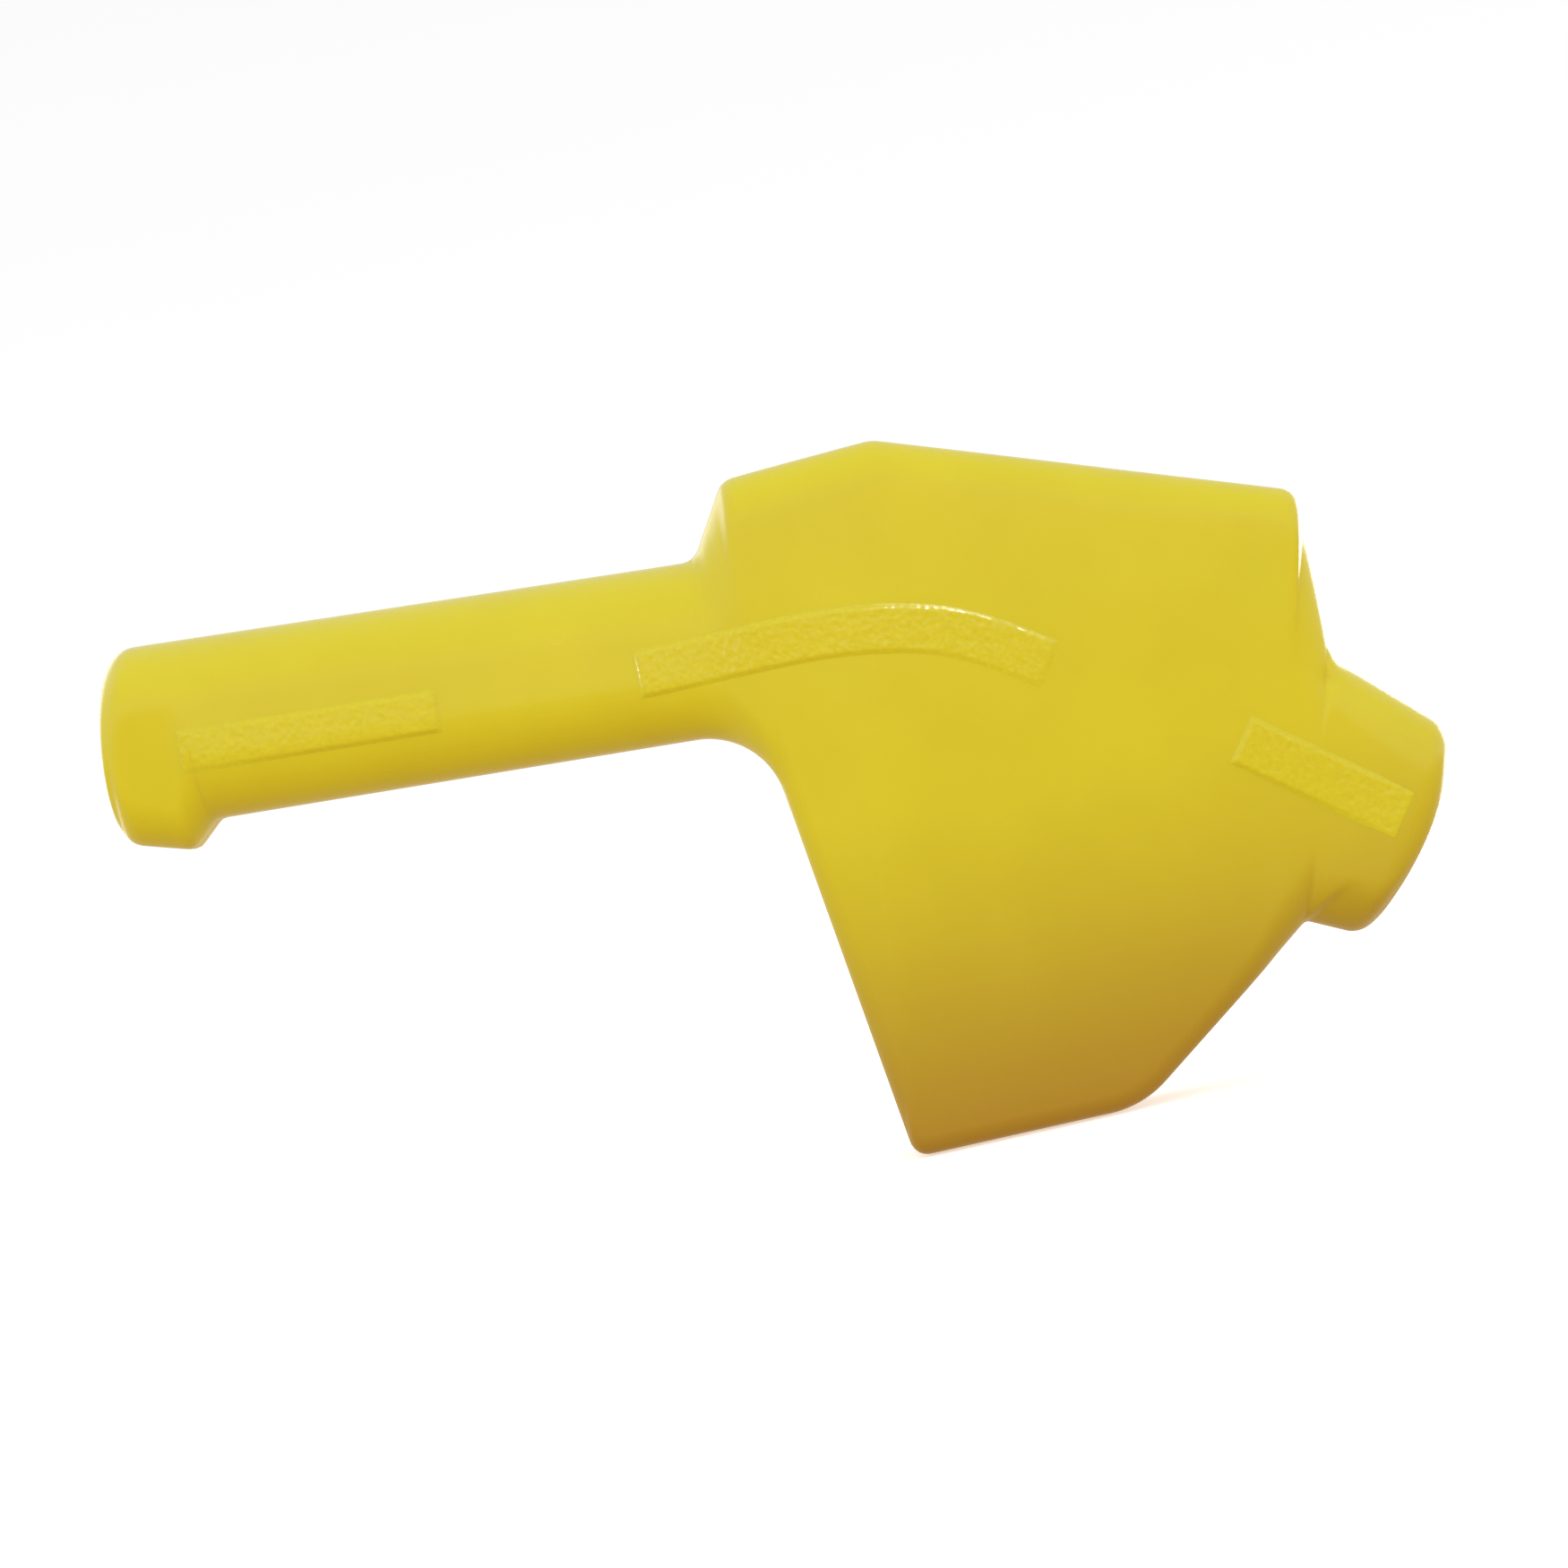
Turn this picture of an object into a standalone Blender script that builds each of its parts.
"""Full-grip cover for a fuel nozzle: two moulded half shells, their screws and label pads.

Frame: metres, +Z up, +X from the hose end to the spout end, -Y the near side.
The cover stands on the flat foot of its skirt, whose underside is the plane z = 0.
"""
import bmesh
import bpy
import numpy as np
from mathutils import Matrix, Vector
from mathutils.bvhtree import BVHTree

# ---- driving dimensions (metres) -------------------------------------------------
WALL = 0.0025                  # moulded wall of both shells
SEAM_GAP = 0.0003              # clear gap between the two shells on the mid-plane
FIT_GAP = 0.0003               # clear gap between any two touching pieces
POINTS_AROUND = 36             # points round one section of the cover
EDGE_SHARE = 1.0               # share of a section's points spent on its round edges
LEAST_SLANT = 0.14             # keeps the edge radius in bounds where a section runs along the outline
SIDE_BOW = 1.7                 # how late a skirt side starts to lean in (power of the height)

# Side outline, one list of corners over the top and one along the bottom,
# both from the hose mouth to the spout mouth: x, z, fillet radius.
TOP_CORNERS = [
    (-0.1366, 0.1347, 0.0),    # upper lip of the hose mouth
    (-0.1356, 0.1426, 0.0070),  # hose end, top
    (-0.0080, 0.1338, 0.0045),  # handle meets the body
    (0.0013, 0.1485, 0.0045),  # rear shoulder
    (0.0339, 0.1496, 0.0090),  # ridge of the roof
    (0.1190, 0.1199, 0.0050),  # front of the roof
    (0.1184, 0.0846, 0.0085),  # front wall meets the collar
    (0.1424, 0.0624, 0.0070),  # collar end, top
    (0.1364, 0.0544, 0.0),     # upper lip of the spout mouth
]
BOTTOM_CORNERS = [
    (-0.1400, 0.1087, 0.0),    # lower lip of the hose mouth
    (-0.1410, 0.1008, 0.0060),  # hose end, bottom
    (-0.1254, 0.0962, 0.0025),  # lowest point of the rear lug
    (-0.1189, 0.1022, 0.0020),  # lug meets the handle
    (-0.0018, 0.0958, 0.0170),  # handle meets the skirt
    (0.0103, 0.0000, 0.0040),  # heel of the foot
    (0.0598, 0.0000, 0.0220),  # toe of the foot
    (0.1020, 0.0308, 0.0020),  # skirt meets the collar
    (0.1144, 0.0247, 0.0055),  # collar end, bottom
    (0.1198, 0.0319, 0.0),     # lower lip of the spout mouth
]

# Sections of the cover. Each joins a place on the top line to one on the bottom line
# (corner number and the share of the way to the next corner), with the half width at
# its top and at its bottom, the edge radius at both, and the steps to the next section.
STATIONS = [
    (0.00, 0.00, 0.0190, 0.0190, 0.0165, 0.0165, 1),
    (0.20, 0.36, 0.0190, 0.0190, 0.0165, 0.0165, 2),
    (1.00, 1.00, 0.0190, 0.0190, 0.0160, 0.0195, 2),
    (1.052, 1.31, 0.0190, 0.0190, 0.0155, 0.0205, 2),
    (1.08, 1.95, 0.0190, 0.0190, 0.0150, 0.0200, 2),
    (1.13, 3.02, 0.0190, 0.0190, 0.0150, 0.0145, 1),
    (1.40, 3.28, 0.0189, 0.0188, 0.0150, 0.0140, 3),
    (1.93, 3.80, 0.0187, 0.0187, 0.0150, 0.0140, 2),
    (2.05, 3.94, 0.0197, 0.0192, 0.0140, 0.0120, 3),
    (2.90, 4.03, 0.0262, 0.0215, 0.0120, 0.0070, 3),
    (3.20, 4.15, 0.0300, 0.0225, 0.0095, 0.0040, 4),
    (3.70, 4.97, 0.0305, 0.0170, 0.0088, 0.0040, 2),
    (3.88, 5.08, 0.0305, 0.0165, 0.0085, 0.0045, 3),
    (4.30, 5.75, 0.0306, 0.0160, 0.0085, 0.0045, 3),
    (4.60, 6.20, 0.0300, 0.0168, 0.0090, 0.0045, 2),
    (4.93, 6.62, 0.0286, 0.0195, 0.0105, 0.0060, 3),
    (5.20, 6.76, 0.0274, 0.0208, 0.0120, 0.0080, 2),
    (5.85, 6.93, 0.0252, 0.0216, 0.0130, 0.0110, 2),
    (6.22, 7.05, 0.0240, 0.0218, 0.0165, 0.0140, 2),
    (6.807, 7.674, 0.0232, 0.0220, 0.0190, 0.0175, 2),
    (7.00, 8.00, 0.0232, 0.0220, 0.0195, 0.0175, 2),
    (7.63, 8.50, 0.0232, 0.0220, 0.0195, 0.0175, 1),
    (8.00, 9.00, 0.0232, 0.0220, 0.0195, 0.0175, 0),
]
HANDLE_LINE = (TOP_CORNERS[1], TOP_CORNERS[2])
COLLAR_LINE = (TOP_CORNERS[6], TOP_CORNERS[7])
HOSE_END_UNTIL = 1.10          # sections up to here round in to the hose mouth
SPOUT_END_FROM = 6.70          # sections from here on round in to the spout mouth

# Slot up the rear of the skirt, where the nozzle's lever comes out.
SLOT_HALF_WIDTH = 0.0115
SLOT_OUTLINE = [(-0.0120, 0.0680), (0.0060, 0.0680), (0.0126, 0.0110), (0.0000, 0.0110)]

# Screws: x, z, how deep the near boss reaches, how far out the far boss reaches.
SCREWS = {
    "shoulder": (0.0150, 0.1345, 0.0282, 0.0282),
    "front": (0.1040, 0.1085, 0.0280, 0.0280),
    "heel": (0.0210, 0.0085, 0.0148, 0.0148),
    "toe": (0.0560, 0.0095, 0.0148, 0.0148),
    "hose_end": (-0.1290, 0.1052, 0.0110, 0.0110),
}
BOSS_RADIUS = 0.0042
PILOT_RADIUS = 0.0019
SHANK_RADIUS = 0.0016
HEAD_RADIUS = 0.0030
HEAD_HEIGHT = 0.0022
RECESS_RADIUS = 0.0034
SCREW_REACH = 0.0090           # shank length on the near side of the mid-plane
HEAD_SEAT = 0.0070             # y of the seat under the screw head
DRIVE_DEPTH = 0.0012
DRIVE_WIDTH = 0.0008
DRIVE_LENGTH = 0.0034
ROUND_SIDES = 14

# Raised label pads: centre line, width, thickness.
PAD_THICKNESS = 0.0009
PAD_STANDOFF = 0.0008
HANDLE_PAD = [(-0.1228, 0.1175), (-0.0672, 0.1142)]
HANDLE_PAD_WIDTH = 0.0093
BODY_PAD = [(-0.0250, 0.1124), (0.0085, 0.1122), (0.0245, 0.1108), (0.0380, 0.1077),
            (0.0490, 0.1026), (0.0598, 0.0954)]
BODY_PAD_WIDTH = 0.0105
COLLAR_PAD = [(0.0953, 0.0716), (0.1258, 0.0485)]
COLLAR_PAD_WIDTH = 0.0110

VINYL_YELLOW = (0.72, 0.60, 0.035, 1.0)
PAD_YELLOW = (0.66, 0.55, 0.035, 1.0)
STEEL_GREY = (0.55, 0.55, 0.56, 1.0)


# ---- scene and materials ----------------------------------------------------------
for old in list(bpy.data.objects):
    bpy.data.objects.remove(old, do_unlink=True)

parts = bpy.data.collections.new("nozzle_cover")
cutters = bpy.data.collections.new("cutters")
bpy.context.scene.collection.children.link(parts)
bpy.context.scene.collection.children.link(cutters)


def principled(name, colour, roughness, metallic):
    """One plain material."""
    material = bpy.data.materials.new(name)
    material.use_nodes = True
    shader = material.node_tree.nodes["Principled BSDF"]
    shader.inputs["Base Color"].default_value = colour
    shader.inputs["Roughness"].default_value = roughness
    shader.inputs["Metallic"].default_value = metallic
    return material


vinyl = principled("gloss_vinyl", VINYL_YELLOW, 0.25, 0.0)
stipple = principled("stippled_vinyl", PAD_YELLOW, 0.55, 0.0)
steel = principled("zinc_plated_steel", STEEL_GREY, 0.35, 1.0)


def add_object(name, bm, material, collection):
    """A mesh object from a bmesh; cutters and guides are drawn as wires and left out."""
    mesh = bpy.data.meshes.new(name)
    bm.to_mesh(mesh)
    bm.free()
    thing = bpy.data.objects.new(name, mesh)
    collection.objects.link(thing)
    if material is not None:
        mesh.materials.append(material)
    if collection is cutters:
        thing.hide_render = True
        thing.display_type = "WIRE"
    return thing


def boolean(thing, cutter, operation):
    """Cut, join or intersect with the exact solver, as a live modifier."""
    modifier = thing.modifiers.new(operation.lower(), "BOOLEAN")
    modifier.operation = operation
    modifier.solver = "EXACT"
    modifier.object = cutter


# ---- outline and sections ---------------------------------------------------------
def point_on(corners, place):
    """Point on a line of corners with filleted bends; place is corner number + share."""
    here = min(int(place), len(corners) - 2)
    share = place - here
    a = np.array(corners[here][:2])
    b = np.array(corners[here + 1][:2])
    length = np.linalg.norm(b - a)
    for corner, from_corner in ((here, share * length), (here + 1, (share - 1.0) * length)):
        if 0 < corner < len(corners) - 1:
            apex = np.array(corners[corner][:2])
            back = np.array(corners[corner - 1][:2]) - apex
            ahead = np.array(corners[corner + 1][:2]) - apex
            back /= np.linalg.norm(back)
            ahead /= np.linalg.norm(ahead)
            half_open = 0.5 * np.arccos(np.clip(back @ ahead, -1.0, 1.0))
            radius = corners[corner][2]
            tangent = radius / np.tan(half_open)
            if abs(from_corner) < tangent:
                middle = back + ahead
                middle /= np.linalg.norm(middle)
                centre = apex + middle * radius / np.sin(half_open)
                sweep = (0.5 * np.pi - half_open) * from_corner / tangent
                across = ahead - middle * (ahead @ middle)
                across /= np.linalg.norm(across)
                return centre + radius * (across * np.sin(sweep) - middle * np.cos(sweep))
    return a + (b - a) * share


def inset_from(line, point):
    """Distance of a point below a line of the top outline."""
    start = np.array(line[0][:2])
    along = np.array(line[1][:2]) - start
    along /= np.linalg.norm(along)
    offset = point - start
    return max(0.0, -(along[0] * offset[1] - along[1] * offset[0]))


def slant_at(corners, place, line):
    """Sine of the angle between the outline at a place and a section's line."""
    last = len(corners) - 1
    step = point_on(corners, min(place + 0.01, last)) - point_on(corners, max(place - 0.01, 0.0))
    crossing = abs(step[0] * line[1] - step[1] * line[0])
    return max(crossing / (np.linalg.norm(step) * np.linalg.norm(line)), LEAST_SLANT)


def half_section(height, half_top, half_bottom, edges, reaches, count):
    """Half a section: depth against distance down from the top, one row of points.

    A flat top, an elliptical edge, a side that leans in towards the bottom, another
    elliptical edge and a flat bottom. The points are spaced by length plus turning, so
    that the round edges keep their share of points from section to section.
    """
    edge_top, edge_bottom = edges
    reach_top = min(reaches[0], 0.5 * height)
    reach_bottom = min(reaches[1], 0.5 * height)
    turn = np.linspace(0.0, 0.5 * np.pi, 25)
    down = np.concatenate([
        reach_top * (1.0 - np.cos(turn)),
        np.linspace(reach_top, height - reach_bottom, 30)[1:-1],
        height - reach_bottom * (1.0 - np.cos(turn[::-1])),
    ])
    width = half_top + (half_bottom - half_top) * (down / height) ** SIDE_BOW
    round_top = min(edge_top, half_top)
    round_bottom = min(edge_bottom, half_bottom)
    lack_top = np.sqrt(np.clip(1.0 - np.clip(1.0 - down / reach_top, 0.0, 1.0) ** 2, 0.0, 1.0))
    from_bottom = (height - down) / reach_bottom
    lack_bottom = np.sqrt(np.clip(1.0 - np.clip(1.0 - from_bottom, 0.0, 1.0) ** 2, 0.0, 1.0))
    depth = width - round_top * (1.0 - lack_top) - round_bottom * (1.0 - lack_bottom)
    depth = np.concatenate([[0.0], np.maximum(depth, 0.0), [0.0]])
    down = np.concatenate([[0.0], down, [height]])
    moved = np.concatenate([[True], np.hypot(np.diff(down), np.diff(depth)) > 1e-7])
    down = down[moved]
    depth = depth[moved]
    lengths = np.hypot(np.diff(down), np.diff(depth))
    headings = np.unwrap(np.arctan2(np.diff(down), np.diff(depth)))
    turns = np.abs(np.gradient(headings))
    measure = lengths / lengths.sum() + EDGE_SHARE * turns / turns.sum()
    run = np.concatenate([[0.0], np.cumsum(measure)])
    wanted = np.linspace(0.0, run[-1], count)
    return np.interp(wanted, run, down), np.interp(wanted, run, depth)


def ease(share):
    """Smooth start and stop between two sections."""
    return share * share * (3.0 - 2.0 * share)


def station_values():
    """Every section of the cover, with the steps between the listed ones filled in."""
    rows = []
    for here, following in zip(STATIONS[:-1], STATIONS[1:]):
        for step in range(here[6]):
            share = step / here[6]
            places = [here[i] + (following[i] - here[i]) * share for i in (0, 1)]
            sizes = [here[i] + (following[i] - here[i]) * ease(share) for i in (2, 3, 4, 5)]
            rows.append(places + sizes)
    rows.append(list(STATIONS[-1][:6]))
    return rows


def skin_points():
    """Rings of points of the outer surface, an array of sections by points by xyz."""
    half_count = POINTS_AROUND // 2 + 1
    rings = []
    for top_place, bottom_place, half_top, half_bottom, edge_top, edge_bottom in station_values():
        top = point_on(TOP_CORNERS, top_place)
        bottom = point_on(BOTTOM_CORNERS, bottom_place)
        inset = 0.0
        if top_place < HOSE_END_UNTIL:
            inset = inset_from(HANDLE_LINE, top)
        if top_place > SPOUT_END_FROM:
            inset = inset_from(COLLAR_LINE, top)
        line = bottom - top
        height = np.linalg.norm(line)
        reaches = (edge_top / slant_at(TOP_CORNERS, top_place, line),
                   edge_bottom / slant_at(BOTTOM_CORNERS, bottom_place, line))
        down, depth = half_section(height, half_top - inset, half_bottom - inset,
                                   (edge_top, edge_bottom), reaches, half_count)
        across = top + np.outer(down / height, line)
        near = np.column_stack([across[:, 0], -depth, across[:, 1]])
        far = near[-2:0:-1] * (1.0, -1.0, 1.0)
        rings.append(np.concatenate([near, far]))
    return np.array(rings)


def skin_bmesh():
    """The outer surface as an open tube of quads, faces outwards."""
    rings = skin_points()
    sections, around = rings.shape[:2]
    bm = bmesh.new()
    verts = [[bm.verts.new(p) for p in ring] for ring in rings]
    for i in range(sections - 1):
        for j in range(around):
            k = (j + 1) % around
            bm.faces.new((verts[i][j], verts[i][k], verts[i + 1][k], verts[i + 1][j]))
    bmesh.ops.recalc_face_normals(bm, faces=bm.faces)
    return bm


def round_bar(bm, radius, y_from, y_to, x, z, sides=ROUND_SIDES):
    """A closed cylinder along Y added to a bmesh."""
    place = Matrix.Translation((x, 0.5 * (y_from + y_to), z)) @ Matrix.Rotation(np.pi / 2, 4, "X")
    bmesh.ops.create_cone(bm, cap_ends=True, segments=sides, radius1=radius, radius2=radius,
                          depth=abs(y_to - y_from), matrix=place)


def box(bm, low, high):
    """A closed box between two corners added to a bmesh."""
    low = Vector(low)
    high = Vector(high)
    size = high - low
    place = Matrix.Translation(0.5 * (low + high)) @ Matrix.Diagonal((*size, 1.0))
    bmesh.ops.create_cube(bm, size=1.0, matrix=place)


# ---- shells -----------------------------------------------------------------------
def slot_cutter():
    """The prism that opens the rear of the skirt."""
    bm = bmesh.new()
    near = [bm.verts.new((x, -SLOT_HALF_WIDTH, z)) for x, z in SLOT_OUTLINE]
    bm.faces.new(near)
    grown = bmesh.ops.extrude_face_region(bm, geom=bm.faces[:])
    moved = [g for g in grown["geom"] if isinstance(g, bmesh.types.BMVert)]
    bmesh.ops.translate(bm, verts=moved, vec=(0.0, 2 * SLOT_HALF_WIDTH, 0.0))
    bmesh.ops.recalc_face_normals(bm, faces=bm.faces)
    return add_object("slot_cutter", bm, None, cutters)


def half_space(name, side):
    """The block that keeps one side of the mid-plane, a seam gap away from it."""
    bm = bmesh.new()
    near = 0.5 * SEAM_GAP
    low = (-0.2, near, -0.05) if side > 0 else (-0.2, -0.1, -0.05)
    high = (0.2, 0.1, 0.2) if side > 0 else (0.2, -near, 0.2)
    box(bm, low, high)
    return add_object(name, bm, None, cutters)


def shell(name, side, slot):
    """One half shell: the skin given its wall, halved, with its bosses and their holes."""
    thing = add_object(name, skin_bmesh(), vinyl, parts)
    wall = thing.modifiers.new("wall", "SOLIDIFY")
    wall.thickness = WALL
    wall.offset = -1.0
    wall.use_even_offset = True
    thing.modifiers.new("flat_faces", "TRIANGULATE")
    bosses = bmesh.new()
    holes = bmesh.new()
    for x, z, near_reach, far_reach in SCREWS.values():
        round_bar(bosses, BOSS_RADIUS, -near_reach, far_reach, x, z)
        if side < 0:
            round_bar(holes, PILOT_RADIUS, -SCREW_REACH - 0.001, 0.001, x, z)
        else:
            round_bar(holes, PILOT_RADIUS, -0.001, HEAD_SEAT + 0.001, x, z)
    boolean(thing, add_object(name + "_bosses", bosses, None, cutters), "UNION")
    boolean(thing, slot, "DIFFERENCE")
    boolean(thing, half_space(name + "_half", side), "INTERSECT")
    boolean(thing, add_object(name + "_holes", holes, None, cutters), "DIFFERENCE")
    if side > 0:
        wells = bmesh.new()
        for x, z, near_reach, far_reach in SCREWS.values():
            round_bar(wells, RECESS_RADIUS, HEAD_SEAT, 0.040, x, z)
        boolean(thing, add_object(name + "_wells", wells, None, cutters), "DIFFERENCE")
    thing.data.set_sharp_from_angle(angle=np.radians(40.0))
    return thing


slot = slot_cutter()
shell("near_shell", -1, slot)
shell("far_shell", 1, slot)


# ---- screws -----------------------------------------------------------------------
def screw(name, x, z):
    """A pan-head self-tapping screw along Y with a cross drive in its head."""
    bm = bmesh.new()
    seat = HEAD_SEAT + FIT_GAP
    round_bar(bm, HEAD_RADIUS, seat, seat + HEAD_HEIGHT, x, z)
    thing = add_object(name, bm, steel, parts)
    shank = bmesh.new()
    round_bar(shank, SHANK_RADIUS, -SCREW_REACH, seat + 0.0005, x, z, sides=12)
    boolean(thing, add_object(name + "_shank", shank, None, cutters), "UNION")
    drive = bmesh.new()
    outer = seat + HEAD_HEIGHT
    reach = 0.5 * DRIVE_LENGTH
    slim = 0.5 * DRIVE_WIDTH
    box(drive, (x - reach, outer - DRIVE_DEPTH, z - slim), (x + reach, outer + 0.001, z + slim))
    boolean(thing, add_object(name + "_drive_flat", drive, None, cutters), "DIFFERENCE")
    drive = bmesh.new()
    box(drive, (x - slim, outer - DRIVE_DEPTH, z - reach), (x + slim, outer + 0.001, z + reach))
    boolean(thing, add_object(name + "_drive_upright", drive, None, cutters), "DIFFERENCE")
    return thing


for place, (screw_x, screw_z, near_reach, far_reach) in SCREWS.items():
    screw("screw_" + place, screw_x, screw_z)


# ---- label pads -------------------------------------------------------------------
def centre_line(points, steps):
    """Evenly spaced points on a smooth curve through the listed ones, and its normals."""
    points = np.array(points)
    ends = np.vstack([2 * points[0] - points[1], points, 2 * points[-1] - points[-2]])
    share = np.linspace(0.0, len(points) - 1.0001, 12 * len(points))
    i = share.astype(int)
    t = (share - i)[:, None]
    p0, p1, p2, p3 = ends[i], ends[i + 1], ends[i + 2], ends[i + 3]
    curve = 0.5 * (2 * p1 + (p2 - p0) * t + (2 * p0 - 5 * p1 + 4 * p2 - p3) * t ** 2
                   + (3 * p1 - p0 - 3 * p2 + p3) * t ** 3)
    run = np.concatenate([[0.0], np.cumsum(np.hypot(*np.diff(curve, axis=0).T))])
    even = np.linspace(0.0, run[-1], steps + 1)
    line = np.column_stack([np.interp(even, run, curve[:, 0]), np.interp(even, run, curve[:, 1])])
    along = np.gradient(line, axis=0)
    along /= np.linalg.norm(along, axis=1)[:, None]
    return line, np.column_stack([-along[:, 1], along[:, 0]])


def pad(name, points, width, steps, side, skin):
    """A thin slab that follows the shell's side: a strip dropped on the skin, thickened."""
    line, normal = centre_line(points, steps)
    bm = bmesh.new()
    rows = []
    for share in np.linspace(-0.5, 0.5, 5):
        row = []
        for x, z in line + normal * width * share:
            hit, facing, index, distance = skin.ray_cast((x, side * 0.1, z), (0.0, -side, 0.0))
            row.append(bm.verts.new(hit + facing * PAD_STANDOFF))
        rows.append(row)
    for lower, upper in zip(rows[:-1], rows[1:]):
        for i in range(steps):
            bm.faces.new((lower[i], lower[i + 1], upper[i + 1], upper[i]))
    bmesh.ops.recalc_face_normals(bm, faces=bm.faces)
    first = bm.faces[:][0]
    first.normal_update()
    if first.normal.y * side < 0.0:
        bmesh.ops.reverse_faces(bm, faces=bm.faces)
    thing = add_object(name, bm, stipple, parts)
    slab = thing.modifiers.new("slab", "SOLIDIFY")
    slab.thickness = PAD_THICKNESS
    slab.offset = 1.0
    return thing


outer_skin = skin_bmesh()
skin_tree = BVHTree.FromBMesh(outer_skin)
outer_skin.free()
for side_name, side in (("near", -1), ("far", 1)):
    pad("handle_pad_" + side_name, HANDLE_PAD, HANDLE_PAD_WIDTH, 6, side, skin_tree)
    pad("body_pad_" + side_name, BODY_PAD, BODY_PAD_WIDTH, 14, side, skin_tree)
    pad("collar_pad_" + side_name, COLLAR_PAD, COLLAR_PAD_WIDTH, 6, side, skin_tree)
